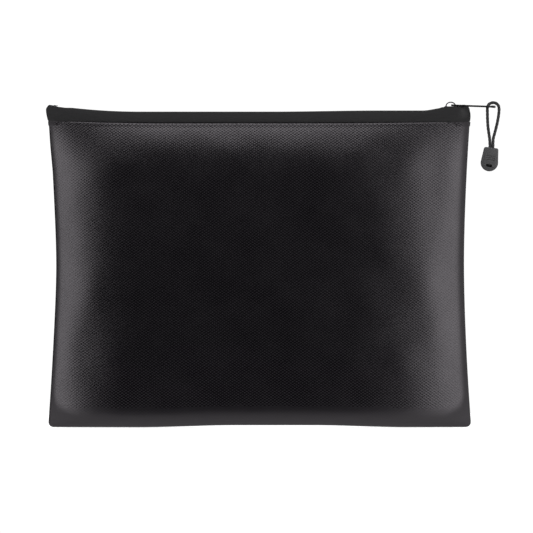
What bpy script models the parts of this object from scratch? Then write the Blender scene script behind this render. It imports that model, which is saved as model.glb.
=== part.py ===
"""Fire-resistant zip pouch for lithium batteries.

A flat-based pouch of coated glass cloth stands upright. Its two sides are joined at the left
and right edges, and a coil zip closes the top. The zip's slider carries a bail, a pull tab and
a short cord loop that ends in a moulded grip. +X is to the right, the front faces -Y and +Z is
up. The origin is the middle of the flat base.
"""

import math

import bmesh
import bpy
from mathutils import Matrix, Vector

MM = 0.001

# Outline of the bag
WAIST_HALF_WIDTH = 163 * MM  # narrowest, at WAIST_HEIGHT
WAIST_HEIGHT = 130 * MM
SIDE_FLARE = 5.2 * MM  # what each side gains over FLARE_REACH above or below the waist
FLARE_REACH = 122 * MM
FLARE_POWER = 1.7
CORNER_RADIUS = 3.2 * MM
SEAM_HEIGHT = 244 * MM  # where the cloth meets the zip tape

# Section across the bag
BASE_HALF = 8 * MM  # flat base strip, half of its width
BODY_HALF = 12 * MM  # half of the filled thickness
FOOT_RISE = 12 * MM  # height at which the foot reaches the full thickness
WEDGE_START = 195 * MM  # above this the sides lean in towards the zip
SEAM_HALF = 6.4 * MM
EDGE_DEPTH = 60 * MM  # how far in from each side edge the section rounds off
EDGE_CLEARANCE = 0.6 * MM  # how far each side's edge stays off the middle plane

# Cloth layers
CLOTH = 0.6 * MM
LINING = 0.4 * MM
LINING_INSET = 1.1 * MM
LINING_TOP = 242 * MM
GAP = 0.3 * MM

# Split between the fixed front piece and the back piece that swings open
FRONT_ENDS_AT = 12  # degrees round the back foot
BACK_STARTS_AT = 17
MOUTH_AXIS_Y = 9.0 * MM
MOUTH_AXIS_Z = 0.4 * MM

# Zip
TAPE_TOP = 254.5 * MM
TAPE_THICKNESS = 0.6 * MM
TAPE_HALF_LENGTH = 165 * MM
TAPE_INNER = 0.7 * MM
COIL_HALF_LENGTH = 160 * MM
COIL_OUTER = 3.0 * MM
COIL_HEIGHT = 2.3 * MM
BARTACK_X = 162.5 * MM

# Slider, at the closed right-hand end of the zip
SLIDER_X = 152.9 * MM
SLIDER_LENGTH = 11.2 * MM
SLIDER_HALF = 3.9 * MM
PLATE = 1.0 * MM
TOP_PLATE = 0.8 * MM
POST_HALF = 0.4 * MM

# Bail and pull tab
BAIL_X = 152.5 * MM
BAIL_FOOT = 255.9 * MM
BAIL_HALF_SPAN = 4.2 * MM
BAIL_RISE = 3.5 * MM
BAIL_STRAP = 0.9 * MM
BAIL_HALF_DEPTH = 0.9 * MM
TAB_AXIS_Z = 256.6 * MM
TAB_EYE_REACH = 3.05 * MM  # from the tab's axis to the middle of its eye
TAB_EYE_RADIUS = 1.75 * MM
TAB_HOLE_AT = 30.3 * MM  # from the eye to the cord hole
TAB_END_AT = 37.3 * MM
TAB_HALF_WIDTH = 2.6 * MM
TAB_END_HALF_WIDTH = 3.0 * MM
TAB_THICKNESS = 1.2 * MM
TAB_YAW = -32  # degrees: the tab points forward of the zip line
TAB_DROOP = 3

# Cord and its moulded grip
CORD_DIAMETER = 2.35 * MM
CORD_Y = -16.06 * MM
CORD_SPACING = 3.4 * MM
GRIP_MOUTH = (184.3 * MM, CORD_Y, 222.5 * MM)
GRIP_TILT = 7.5  # degrees
GRIP_TOP_HALF = 5.8 * MM
GRIP_RADIUS = 6.95 * MM
GRIP_LENGTH = 19.0 * MM
GRIP_SHELL = 2.55 * MM
GRIP_CORNER = 1.0 * MM
POCKET_DEPTH = 1.75 * MM

# The cord's route, as (x, z) in millimetres in the plane y = CORD_Y: up from the grip, through
# the tab's hole, over the tab's end and back down into the grip
CORD_ROUTE = [
    (182.2, 217.0), (182.6, 219.8), (183.0, 222.8), (182.9, 227.0), (182.3, 233.1), (181.6, 239.2),
    (181.25, 245.0), (181.15, 250.0), (181.15, 254.3), (181.8, 256.7), (183.55, 258.45),
    (185.95, 259.1), (188.35, 258.45), (190.1, 256.7), (190.75, 254.3), (190.5, 249.5),
    (189.8, 245.4), (189.0, 241.3), (188.1, 237.2), (187.2, 233.1), (186.4, 229.0),
    (185.9, 225.5), (185.65, 222.6), (185.3, 219.8), (184.9, 216.7),
]

COLLECTION = "battery_pouch"
SIDES = {"front": -1, "back": 1}
ENDS = {"left": -1, "right": 1}

# name: (colour, roughness, metallic)
MATERIALS = {
    "coated_cloth": ((0.012, 0.011, 0.013, 1), 0.5, 0.0),
    "lining_cloth": ((0.32, 0.33, 0.33, 1), 0.8, 0.0),
    "zip_tape": ((0.03, 0.028, 0.03, 1), 0.9, 0.0),
    "zip_coil": ((0.02, 0.02, 0.02, 1), 0.45, 0.0),
    "thread": ((0.02, 0.02, 0.02, 1), 0.7, 0.0),
    "binding": ((0.04, 0.04, 0.04, 1), 0.9, 0.0),
    "slider_metal": ((0.015, 0.015, 0.016, 1), 0.35, 0.6),
    "cord": ((0.008, 0.008, 0.009, 1), 0.85, 0.0),
    "grip_plastic": ((0.07, 0.07, 0.075, 1), 0.5, 0.0),
}


# ---------------------------------------------------------------- scene and helpers


def clear_scene():
    for obj in list(bpy.data.objects):
        bpy.data.objects.remove(obj, do_unlink=True)


def new_collection(name):
    collection = bpy.data.collections.new(name)
    bpy.context.scene.collection.children.link(collection)
    return collection


def make_material(name):
    colour, roughness, metallic = MATERIALS[name]
    material = bpy.data.materials.new(name)
    material.use_nodes = True
    shader = material.node_tree.nodes["Principled BSDF"]
    shader.inputs["Base Color"].default_value = colour
    shader.inputs["Roughness"].default_value = roughness
    shader.inputs["Metallic"].default_value = metallic
    material.diffuse_color = colour
    return material


def finish_object(name, data, material, collection):
    obj = bpy.data.objects.new(name, data)
    collection.objects.link(obj)
    data.materials.append(make_material(material))
    data.materials[0].name = name + "_" + material
    return obj


def mesh_object(name, bm, material, collection, smooth=False):
    mesh = bpy.data.meshes.new(name)
    bm.to_mesh(mesh)
    bm.free()
    if smooth:
        mesh.shade_smooth()
        mesh.set_sharp_from_angle(angle=math.radians(40))
    return finish_object(name, mesh, material, collection)


def box(name, low, high, material, collection):
    """A box between two corners, in metres."""
    middle = [(a + b) / 2 for a, b in zip(low, high)]
    size = [b - a for a, b in zip(low, high)]
    bm = bmesh.new()
    bmesh.ops.create_cube(bm, size=1.0)
    bmesh.ops.transform(
        bm, matrix=Matrix.Translation(middle) @ Matrix.Diagonal((*size, 1)), verts=bm.verts
    )
    return mesh_object(name, bm, material, collection)


def loft(name, rows, material, collection):
    """An open sheet through rows of points, facing rows' direction x the way along them."""
    bm = bmesh.new()
    grid = [[bm.verts.new(point) for point in row] for row in rows]
    for below, above in zip(grid, grid[1:]):
        for k in range(len(below) - 1):
            bm.faces.new((below[k], below[k + 1], above[k + 1], above[k]))
    return mesh_object(name, bm, material, collection, smooth=True)


def thicken(obj, thickness):
    """Solidify the sheet inwards, away from its faces' direction."""
    solid = obj.modifiers.new("thickness", "SOLIDIFY")
    solid.thickness = thickness
    solid.offset = -1
    solid.use_even_offset = True
    solid.use_quality_normals = True


def flat_outline(name, loops, half_thickness, material, collection):
    """A flat plate in its own XY plane: the first loop is its outline, the others are holes."""
    curve = bpy.data.curves.new(name, "CURVE")
    curve.dimensions = "2D"
    curve.fill_mode = "BOTH"
    curve.extrude = half_thickness
    for points in loops:
        spline = curve.splines.new("POLY")
        spline.points.add(len(points) - 1)
        for target, (x, y) in zip(spline.points, points):
            target.co = (x, y, 0, 1)
        spline.use_cyclic_u = True
    return finish_object(name, curve, material, collection)


def tube(name, points, diameter, material, collection):
    """A round rod along points."""
    curve = bpy.data.curves.new(name, "CURVE")
    curve.dimensions = "3D"
    curve.bevel_depth = diameter / 2
    curve.bevel_resolution = 2
    curve.use_fill_caps = True
    spline = curve.splines.new("POLY")
    spline.points.add(len(points) - 1)
    for target, point in zip(spline.points, points):
        target.co = (*point, 1)
    return finish_object(name, curve, material, collection)


def as_mesh(obj):
    """Replace a curve object with a welded mesh object of the same name and place."""
    collection = obj.users_collection[0]
    bpy.context.view_layer.update()
    evaluated = obj.evaluated_get(bpy.context.evaluated_depsgraph_get())
    mesh = bpy.data.meshes.new_from_object(evaluated)
    bm = bmesh.new()
    bm.from_mesh(mesh)
    bmesh.ops.remove_doubles(bm, verts=bm.verts, dist=0.01 * MM)
    bm.to_mesh(mesh)
    bm.free()
    name, matrix = obj.name, obj.matrix_world.copy()
    bpy.data.objects.remove(obj, do_unlink=True)
    made = bpy.data.objects.new(name, mesh)
    made.matrix_world = matrix
    collection.objects.link(made)
    return made


def combine(obj, others, operation, cutters):
    """Boolean obj with each of others, which move to the cutters' collection."""
    for other in others:
        step = obj.modifiers.new(operation.lower(), "BOOLEAN")
        step.operation = operation
        step.solver = "EXACT"
        step.object = other
        other.hide_render = True
        other.display_type = "WIRE"
        for collection in other.users_collection:
            collection.objects.unlink(other)
        cutters.objects.link(other)


def axis_empty(name, place, collection):
    empty = bpy.data.objects.new(name, None)
    empty.location = place
    collection.objects.link(empty)
    return empty


def hang_on(obj, empty):
    """Parent obj to an empty on its joint's axis, and leave it where it is."""
    bpy.context.view_layer.update()
    obj.parent = empty
    obj.matrix_parent_inverse = empty.matrix_world.inverted()


def arc(centre, radius, start, end, steps):
    """Points round an arc, with angles in degrees."""
    turns = [math.radians(start + (end - start) * k / steps) for k in range(steps + 1)]
    return [(centre[0] + radius * math.cos(a), centre[1] + radius * math.sin(a)) for a in turns]


# ---------------------------------------------------------------- shape of the bag


def half_width(z):
    """Half of the bag's width at height z: waisted sides, rounded bottom corners."""
    flare = abs((z - WAIST_HEIGHT) / FLARE_REACH) ** FLARE_POWER
    sides = WAIST_HALF_WIDTH + SIDE_FLARE * flare
    if z >= CORNER_RADIUS:
        return sides
    drop = CORNER_RADIUS - z
    return sides - CORNER_RADIUS + math.sqrt(CORNER_RADIUS**2 - drop**2)


def edge_share(depth):
    """Share of the thickness at a depth in from the side edge: a round edge, then flatter."""
    rest = 1 - min(max(depth, 0) / EDGE_DEPTH, 1)
    return math.sqrt(1 - rest**4)


def foot_point(angle, inset):
    """(distance from the middle plane, height) round the foot, 0 degrees at the base strip."""
    turn = math.radians(angle)
    return (
        BASE_HALF + (BODY_HALF - BASE_HALF - inset) * math.sin(turn),
        FOOT_RISE - (FOOT_RISE - inset) * math.cos(turn),
    )


def side_profile(first_angle, inset, top):
    """The section's points up one side, from round the foot to the top edge."""
    points = [foot_point(a, inset) for a in (first_angle, 32, 52, 72, 90)]
    points += [(BODY_HALF - inset, z) for z in (60 * MM, 110 * MM, 155 * MM, WEDGE_START)]
    for share in (0.35, 0.6, 0.82, 1.0):
        z = WEDGE_START + share * (top - WEDGE_START)
        lean = ((z - WEDGE_START) / (SEAM_HEIGHT - WEDGE_START)) ** 2
        points.append((BODY_HALF - inset - (BODY_HALF - SEAM_HALF) * lean, z))
    return points


def bag_row(y, z, inset):
    """One row of the bag's skin, from left to right at distance y from the middle plane."""
    edge = half_width(z - inset) - inset
    least = EDGE_CLEARANCE / max(abs(y), BASE_HALF)
    depths = [share * EDGE_DEPTH for share in (0.0, 0.012, 0.045, 0.11, 0.22, 0.45, 1.0)]
    left = [(-(edge - depth), y * max(edge_share(depth), least), z) for depth in depths]
    right = [(-x, across, height) for x, across, height in reversed(left)]
    return left + [(0, y, z)] + right


def make_skin(name, side, inset, top, thickness, material, collection):
    """One cloth layer: the front one has the base strip and the start of the back foot."""
    if side < 0:
        strip = [foot_point(FRONT_ENDS_AT, inset), (BASE_HALF, inset), (0, inset)]
        profile = side_profile(0, inset, top)
        rows = [bag_row(y, z, inset) for y, z in strip]
        rows += [bag_row(-y, z, inset) for y, z in profile]
    else:
        profile = side_profile(BACK_STARTS_AT, inset, top)
        rows = [list(reversed(bag_row(y, z, inset))) for y, z in profile]
    obj = loft(name, rows, material, collection)
    thicken(obj, thickness)
    return obj


# ---------------------------------------------------------------- seams and zip


def make_binding(end_name, end, collection):
    """The bound seam allowance, a strip inside the side edge."""
    heights = [z * MM for z in (14, 50, 90, 130, 170, 205, 236)]
    outer = [(half_width(z) - 2.6 * MM, z) for z in heights]
    inner = [(half_width(z) - 11.5 * MM, z) for z in reversed(heights)]
    points = [(end * x, z) for x, z in outer + inner]
    name = end_name + "_seam_binding"
    obj = flat_outline(name, [points], 0.6 * MM, "binding", collection)
    obj.rotation_euler = (math.radians(90), 0, 0)
    return obj


def make_seam_stitching(end_name, end, collection):
    """The row of thread along the binding."""
    heights = [z * MM for z in (16, 50, 90, 130, 170, 205, 234)]
    points = [(end * (half_width(z) - 7 * MM), -1.25 * MM, z) for z in heights]
    return tube(end_name + "_seam_stitching", points, 0.6 * MM, "thread", collection)


def tape_row(side, y, z, follow):
    """A row of the tape; follow is how much it draws in with the bag's side edges."""
    row = []
    for x in (-165, -162, -157, -148, -130, -105, 0, 105, 130, 148, 157, 162, 165):
        depth = half_width(SEAM_HEIGHT) - abs(x) * MM
        share = 1 - follow * (1 - edge_share(depth))
        row.append((x * MM * TAPE_HALF_LENGTH / (165 * MM), side * y * share, z))
    return row


def make_tape(side_name, side, collection):
    """One half of the zip tape: up from the cloth's top edge, then flat over the coil."""
    section = [
        (SEAM_HALF, SEAM_HEIGHT + GAP, 1.0),
        (5.3 * MM, 251.8 * MM, 0.2),
        (4.8 * MM, 253.7 * MM, 0.1),
        (3.6 * MM, TAPE_TOP, 0.0),
        (TAPE_INNER, TAPE_TOP, 0.0),
    ]
    rows = [tape_row(side, y, z, follow) for y, z, follow in section]
    if side > 0:
        rows = [list(reversed(row)) for row in rows]
    obj = loft(side_name + "_zip_tape", rows, "zip_tape", collection)
    thicken(obj, TAPE_THICKNESS)
    return obj


def make_coil(side_name, side, collection):
    """The coil's envelope under the tape."""
    top = TAPE_TOP - TAPE_THICKNESS - GAP
    ys = sorted((side * TAPE_INNER, side * COIL_OUTER))
    low = (-COIL_HALF_LENGTH, ys[0], top - COIL_HEIGHT)
    high = (COIL_HALF_LENGTH, ys[1], top)
    return box(side_name + "_zip_coil", low, high, "zip_coil", collection)


def make_zip_stitching(side_name, side, collection):
    """The thread that holds the tape's lower edge, inside the mouth."""
    points = []
    for x in (-160, -154, -146, -130, -105, 0, 105, 130, 146, 154, 160):
        depth = half_width(SEAM_HEIGHT) - abs(x) * MM
        across = SEAM_HALF * edge_share(depth) - 1.35 * MM
        points.append((x * MM, side * across, 246.3 * MM))
    return tube(side_name + "_zip_stitching", points, 0.5 * MM, "thread", collection)


def make_bartack(end_name, end, collection):
    """Thread sewn across both tapes, which stops the slider."""
    low_z = TAPE_TOP + GAP
    xs = sorted((end * (BARTACK_X - 1 * MM), end * (BARTACK_X + 1 * MM)))
    low, high = (xs[0], -2.6 * MM, low_z), (xs[1], 2.6 * MM, low_z + 0.4 * MM)
    return box(end_name + "_zip_bartack", low, high, "thread", collection)


# ---------------------------------------------------------------- slider, bail and tab


def make_slider(collection, cutters):
    """A lower channel round the coils, a post between them and a plate over the tapes."""
    coil_low = TAPE_TOP - TAPE_THICKNESS - GAP - COIL_HEIGHT
    floor_top = coil_low - GAP
    floor_low = floor_top - PLATE
    lid_low = TAPE_TOP + GAP
    lid_top = lid_low + TOP_PLATE
    left, right = SLIDER_X - SLIDER_LENGTH / 2, SLIDER_X + SLIDER_LENGTH / 2
    lug = 0.2 * MM

    def block(name, x_range, y_range, z_range):
        low, high = zip(x_range, y_range, z_range)
        return box(name, low, high, "slider_metal", collection)

    body = block("slider_body", (left, right), (-SLIDER_HALF, SLIDER_HALF), (floor_low, floor_top))
    lid = block("slider_lid", (left, right), (-4.3 * MM, 4.3 * MM), (lid_low, lid_top))
    post_z = (floor_top - lug, lid_low + lug)
    post = block(
        "slider_post", (right - 4 * MM, right - 1 * MM), (-POST_HALF, POST_HALF), post_z
    )
    flanges = []
    for side_name, side in SIDES.items():
        ys = sorted((side * (COIL_OUTER + GAP), side * SLIDER_HALF))
        zs = (floor_top - lug, 253.0 * MM)
        flanges.append(block("slider_flange_" + side_name, (left, right), ys, zs))
    combine(body, [lid, post, *flanges], "UNION", cutters)
    return body


def make_bail(collection):
    """The strap that arches over the slider, lengthways."""
    steps = 14
    outer, inner = [], []
    for k in range(steps + 1):
        turn = math.pi * k / steps
        outer.append((BAIL_HALF_SPAN * math.cos(turn), BAIL_RISE * math.sin(turn)))
        inner.append(
            (
                (BAIL_HALF_SPAN - BAIL_STRAP) * math.cos(turn),
                (BAIL_RISE - BAIL_STRAP) * math.sin(turn),
            )
        )
    outline = outer + list(reversed(inner))
    obj = flat_outline("slider_bail", [outline], BAIL_HALF_DEPTH, "slider_metal", collection)
    obj.rotation_euler = (math.radians(90), 0, 0)
    obj.location = (BAIL_X, 0, BAIL_FOOT)
    return obj


def make_tab(collection):
    """A flat pull with an eye round the bail and a hole for the cord, drawn eye at (0, 0)."""
    eye_outer = TAB_EYE_RADIUS + 1.1 * MM
    end_centre = (TAB_END_AT - TAB_END_HALF_WIDTH, 0)
    outline = arc((0, 0), eye_outer, 50, 310, 14)
    outline += [(4.4 * MM, -TAB_HALF_WIDTH), (end_centre[0] - 8 * MM, -TAB_HALF_WIDTH)]
    outline += arc(end_centre, TAB_END_HALF_WIDTH, -90, 90, 10)
    outline += [(end_centre[0] - 8 * MM, TAB_HALF_WIDTH), (4.4 * MM, TAB_HALF_WIDTH)]
    eye = arc((0, 0), TAB_EYE_RADIUS, 0, 360 - 360 / 16, 15)
    hole = arc((TAB_HOLE_AT, 0), TAB_EYE_RADIUS, 0, 360 - 360 / 16, 15)
    obj = flat_outline("pull_tab", [outline, eye, hole], TAB_THICKNESS / 2, "slider_metal", collection)
    droop = Matrix.Rotation(math.radians(TAB_DROOP), 4, "Y")
    reach = Matrix.Translation((TAB_EYE_REACH, 0, 0))
    yaw = Matrix.Rotation(math.radians(TAB_YAW), 4, "Z")
    obj.matrix_world = Matrix.Translation((BAIL_X, 0, TAB_AXIS_Z)) @ droop @ reach @ yaw
    return obj


# ---------------------------------------------------------------- cord and grip


def smooth_route(points, spacing):
    """Points about spacing apart on a Catmull-Rom curve through points."""
    ends = [2 * points[0] - points[1], *points, 2 * points[-1] - points[-2]]
    fine = []
    for a, b, c, d in zip(ends, ends[1:], ends[2:], ends[3:]):
        for k in range(12):
            t = k / 12
            fine.append(
                0.5 * (2 * b + (c - a) * t + (2 * a - 5 * b + 4 * c - d) * t**2
                       + (3 * b - a - 3 * c + d) * t**3)
            )
    fine.append(points[-1])
    total = sum((q - p).length for p, q in zip(fine, fine[1:]))
    count = max(round(total / spacing), 2)
    made, walked, target = [fine[0]], 0.0, total / count
    for p, q in zip(fine, fine[1:]):
        step = (q - p).length
        while walked + step >= target - 1e-9 and len(made) < count:
            made.append(p.lerp(q, (target - walked) / step))
            target += total / count
        walked += step
    made.append(fine[-1])
    return made


def make_cord(collection):
    route = [Vector((x * MM, CORD_Y, z * MM)) for x, z in CORD_ROUTE]
    points = smooth_route(route, CORD_SPACING)
    return tube("cord_loop", points, CORD_DIAMETER, "cord", collection)


def grip_frame():
    """From the grip's own frame, mouth at the origin and +Z out of it, to the world."""
    return Matrix.Translation(GRIP_MOUTH) @ Matrix.Rotation(math.radians(GRIP_TILT), 4, "Y")


def grip_outline():
    """The grip's face: narrow mouth at the top, wide round end below."""
    round_z = -(GRIP_LENGTH - GRIP_RADIUS)
    corner = (GRIP_TOP_HALF - GRIP_CORNER, -GRIP_CORNER)
    right = arc(corner, GRIP_CORNER, 90, 0, 3)
    bottom = arc((0, round_z), GRIP_RADIUS, 0, -180, 16)
    left = [(-x, z) for x, z in reversed(right)]
    return right + bottom + left


def make_grip_half(side_name, side, collection, cutters):
    """One moulded half, with a pocket for the knot and a slot for the two cord legs."""
    frame = grip_frame()
    upright = Matrix.Rotation(math.radians(90), 4, "X")
    half = GRIP_SHELL / 2
    middle_y = side * (GAP / 2 + half)
    name = "cord_grip_" + side_name
    shell = flat_outline(name, [grip_outline()], half, "grip_plastic", collection)
    shell.matrix_world = frame @ Matrix.Translation((0, middle_y, 0)) @ upright
    shell = as_mesh(shell)

    def cutter(cut_name, x_half, y_range, z_range):
        ys = sorted(side * y for y in y_range)
        low, high = (-x_half, ys[0], z_range[0]), (x_half, ys[1], z_range[1])
        made = box(name + cut_name, low, high, "grip_plastic", collection)
        made.matrix_world = frame
        return made

    split = (-1 * MM, GAP / 2 + POCKET_DEPTH)
    cuts = [
        cutter("_pocket", 4 * MM, split, (-16.2 * MM, -3.4 * MM)),
        cutter("_mouth", 2.85 * MM, (-1 * MM, GAP / 2 + 1.4 * MM), (-4 * MM, 1 * MM)),
    ]
    if side < 0:
        window = (0, GAP + GRIP_SHELL + 1 * MM)
        cuts.append(cutter("_window", 2.35 * MM, window, (-15.6 * MM, -13.4 * MM)))
    combine(shell, cuts, "DIFFERENCE", cutters)
    return shell


def make_knot(collection):
    """The tied ends of the cord, inside the grip."""
    bm = bmesh.new()
    bmesh.ops.create_uvsphere(bm, u_segments=12, v_segments=8, radius=1.0)
    size = Matrix.Diagonal((2.7 * MM, 1.45 * MM, 2.3 * MM, 1))
    bmesh.ops.transform(bm, matrix=size, verts=bm.verts)
    knot = mesh_object("cord_knot", bm, "cord", collection, smooth=True)
    knot.matrix_world = grip_frame() @ Matrix.Translation((0, 0, -8.6 * MM))
    return knot


# ---------------------------------------------------------------- assembly


def build():
    clear_scene()
    collection = new_collection(COLLECTION)
    cutters = new_collection("cutters")
    made = {}
    for side_name, side in SIDES.items():
        made[side_name + "_panel"] = make_skin(
            side_name + "_panel", side, 0, SEAM_HEIGHT, CLOTH, "coated_cloth", collection
        )
        made[side_name + "_lining"] = make_skin(
            side_name + "_lining", side, LINING_INSET, LINING_TOP, LINING, "lining_cloth", collection
        )
        made[side_name + "_zip_tape"] = make_tape(side_name, side, collection)
        made[side_name + "_zip_coil"] = make_coil(side_name, side, collection)
        made[side_name + "_zip_stitching"] = make_zip_stitching(side_name, side, collection)
    for end_name, end in ENDS.items():
        make_binding(end_name, end, collection)
        make_seam_stitching(end_name, end, collection)
        make_bartack(end_name, end, collection)

    mouth = axis_empty("mouth_axis", (0, MOUTH_AXIS_Y, MOUTH_AXIS_Z), collection)
    for name, obj in made.items():
        if name.startswith("back_"):
            hang_on(obj, mouth)

    slider = axis_empty("zip_slide_axis", (SLIDER_X, 0, TAPE_TOP), collection)
    hang_on(make_slider(collection, cutters), slider)
    hang_on(make_bail(collection), slider)
    tab_axis = axis_empty("pull_tab_axis", (BAIL_X, 0, TAB_AXIS_Z), collection)
    hang_on(make_tab(collection), tab_axis)
    hang_on(tab_axis, slider)
    cord_axis = axis_empty("cord_axis", (181.25 * MM, CORD_Y, 255.1 * MM), collection)
    hang_on(make_cord(collection), cord_axis)
    hang_on(cord_axis, tab_axis)
    grip_axis = axis_empty("cord_grip_axis", GRIP_MOUTH, collection)
    for side_name, side in SIDES.items():
        hang_on(make_grip_half(side_name, side, collection, cutters), grip_axis)
    hang_on(make_knot(collection), grip_axis)
    hang_on(grip_axis, cord_axis)


build()
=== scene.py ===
"""The visible battery pouch: cloth, zip, slider, cord and grip, with their materials, light and camera.

Shapes are worked out in millimetres and turned into metres where a mesh is made. +X is to the
right, the front faces -Y, +Z is up, and the origin is the middle of the base.
"""

import math

import bmesh
import bpy
import numpy as np
from mathutils import Matrix, Vector, noise


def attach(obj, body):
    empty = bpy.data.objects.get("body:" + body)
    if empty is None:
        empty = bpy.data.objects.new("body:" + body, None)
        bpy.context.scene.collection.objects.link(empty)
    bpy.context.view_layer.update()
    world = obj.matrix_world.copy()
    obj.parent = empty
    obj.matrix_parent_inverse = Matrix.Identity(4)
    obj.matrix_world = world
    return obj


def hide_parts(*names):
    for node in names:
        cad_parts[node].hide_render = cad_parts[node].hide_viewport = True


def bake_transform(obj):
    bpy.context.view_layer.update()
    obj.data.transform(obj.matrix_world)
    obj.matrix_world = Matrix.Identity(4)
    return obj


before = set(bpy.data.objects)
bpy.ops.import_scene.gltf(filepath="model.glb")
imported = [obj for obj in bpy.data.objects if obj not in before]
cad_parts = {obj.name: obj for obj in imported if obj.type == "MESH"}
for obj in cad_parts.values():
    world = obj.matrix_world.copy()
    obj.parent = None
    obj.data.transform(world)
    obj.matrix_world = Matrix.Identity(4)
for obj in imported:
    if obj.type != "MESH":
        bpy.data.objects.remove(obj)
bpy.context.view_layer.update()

MM = 0.001
FRONT, BACK = -1, 1
LEFT, RIGHT = -1, 1
SIDE_NAMES = {FRONT: "front", BACK: "back"}
END_NAMES = {LEFT: "left", RIGHT: "right"}

# ---------------------------------------------------------------- sizes
# Names shared with the CAD hold its sizes, except for small changes to the bag's corners, wedge
# and seam, the lining's inset, the pull's thickness, the grip's shell and corners, and the cord's
# route.

WAIST_HALF_WIDTH, WAIST_HEIGHT = 163.0, 130.0
SIDE_FLARE, FLARE_REACH, FLARE_POWER = 5.2, 122.0, 1.7
CORNER_RADIUS = 4.4
BASE_HALF, BODY_HALF, FOOT_RISE = 8.0, 12.0, 12.0
WEDGE_START, SEAM_HEIGHT, SEAM_HALF = 198.0, 244.0, 6.2
EDGE_REACH = {LEFT: 84.0, RIGHT: 120.0}  # how far in from each side edge the cloth slopes
EDGE_POWER = 2.7
EDGE_PUFF = 0.5  # how far the cloth stands out past the seam at each side
# The reaches below also set where the weave's light dots are left out and the cloth is painted darker:
# painted shade on its side edges, foot and hem.
EDGE_PLAIN_SHADE = {LEFT: 3.2, RIGHT: 4.8}  # how far in from each side edge the weave fades out
FOOT_PLAIN_SHADE, HEM_PLAIN_SHADE = 10.5, 0.8  # how far from the base and from the hem it fades out
CLOTH, LINING, TAPE = 0.6, 0.4, 0.6
THICKNESS = {"coated_cloth": CLOTH, "lining_cloth": LINING, "zip_tape": TAPE}
LINING_INSET = 1.25
LINING_TRIM = 7  # columns of the outer cloth's grid that the lining stays short of each side
LINING_SKIP = 4  # rows of the front cloth that pass under the base and behind it, with no lining
FOOT_LIFT = 1.7  # how far the middle of the front's foot rises off the ground
WAVE_DEPTH, WAVE_SEED = 0.9, {FRONT: 3.7, BACK: 9.1}  # the loose cloth's slow waves
CURL_START, CURL_RUN, CURL_RISE = -95, 72, 5.4  # the zip's left end curls up
ZIP_DIP = 3.1  # how far the zip's middle lies below its left end; curl beyond that is the ear
COIL_HALF, STITCHED_HALF, STITCHED_HEIGHT = 159.5, 158, 245.9
TAPE_WIDEST = 6.25  # the tape's greatest distance from the middle plane
ZIP_STITCH, SEAM_STITCH = (2.8, 0.8, 0.22), (3.0, 0.8, 0.28)  # pitch, share in view, radius
BARTACK_START, BARTACK_STEP, BARTACK_THREADS, BARTACK_REACH = 160.9, 0.34, 9, 2.2
COIL_PITCH, COIL_WIRE, COIL_MIDDLE, COIL_RISE = 1.5, 0.29, 252.45, 0.82
SLIDER_X, SLIDER_LENGTH, SLIDER_HALF = 152.9, 11.2, 3.9
SLIDER_PLATE, SLIDER_LID = (250.0, 251.0), (254.8, 255.6)  # the heights each lies between
BAIL_X, BAIL_FOOT, BAIL_HALF_SPAN, BAIL_RISE, BAIL_STRAP = 152.5, 255.9, 4.2, 3.5, 0.9
TAB_AXIS_Z, TAB_EYE_REACH, TAB_EYE_RADIUS = 256.6, 3.05, 1.75
TAB_HOLE_AT, TAB_END_AT, TAB_YAW, TAB_DROOP = 30.3, 37.3, -32, 3
TAB_HALF_WIDTH, TAB_END_HALF_WIDTH, TAB_THICKNESS, TAB_CHANNEL = 2.6, 3.0, 1.35, 1.25
CORD_DIAMETER, CORD_Y, CORD_LAY = 2.35, -16.06, 2.9
GRIP_MOUTH = (184.3, CORD_Y, 222.5)
GRIP_TILT, GRIP_TOP_HALF, GRIP_RADIUS, GRIP_LENGTH = 7.5, 5.8, 6.95, 19.0
GRIP_SHELL, GRIP_PAD, GRIP_GAP, GRIP_CORNER = 2.15, 1.4, 0.15, 1.6
GRIP_GROOVES = (-6.8, -8.4, -10.0)
CORD_ROUTE = [
    (182.4, 217.0), (182.8, 219.8), (183.15, 222.8), (183.15, 226.0), (182.9, 229.5),
    (182.3, 233.8), (181.6, 239.2), (181.25, 245.0), (181.15, 250.0), (181.15, 254.0),
    (181.8, 256.2), (183.55, 257.7), (185.85, 258.2), (188.1, 257.6), (189.75, 256.0),
    (190.4, 253.5), (190.2, 249.5), (189.6, 245.4), (188.8, 241.3), (187.8, 237.2),
    (186.7, 233.1), (185.85, 229.8), (185.6, 226.2), (185.55, 222.6), (185.25, 219.8),
    (184.9, 216.7),
]
# (distance from the middle plane, height) round the cloth's turned-in top edge
HEM = [
    (6.76, 242.4), (6.5, 243.05), (6.1, 243.45), (5.6, 243.6), (5.2, 243.35), (5.03, 242.7),
    (5.0, 241.5), (5.0, 240.2),
]
# depths in from the side edge of the cloth's closest columns; the middle has even ones
DEPTHS = np.array([
    0, 0.1, 0.3, 0.65, 1.2, 2.0, 3.1, 4.5, 6.3, 8.5, 11.2, 14.3, 17.8, 21.7, 26, 30.5, 35, 40, 45, 50,
])
MIDDLE_STEPS = 27
# (distance from the middle plane, height, how far each end reaches left and right)
TAPE_SECTION = [
    (4.4, 240.0, 166.8, 166.4), (4.42, 242.0, 167.2, 166.8), (4.75, 243.3, 167.8, 167.3),
    (5.5, 243.95, 168.5, 167.7), (6.05, 244.7, 168.9, 168.0), (6.25, 246.0, 169.2, 168.2),
    (6.2, 248.0, 169.6, 168.3), (5.95, 250.0, 170.0, 168.2), (5.6, 251.8, 170.2, 167.8),
    (5.2, 253.1, 170.2, 167.4), (4.75, 253.9, 168.6, 166.4), (4.1, 254.35, 168.1, 165.2),
    (3.2, 254.5, 167.9, 164.4), (2.3, 254.55, 167.8, 164.0), (1.4, 254.52, 167.7, 163.6),
    (0.7, 254.5, 167.6, 163.4),
]
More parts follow.
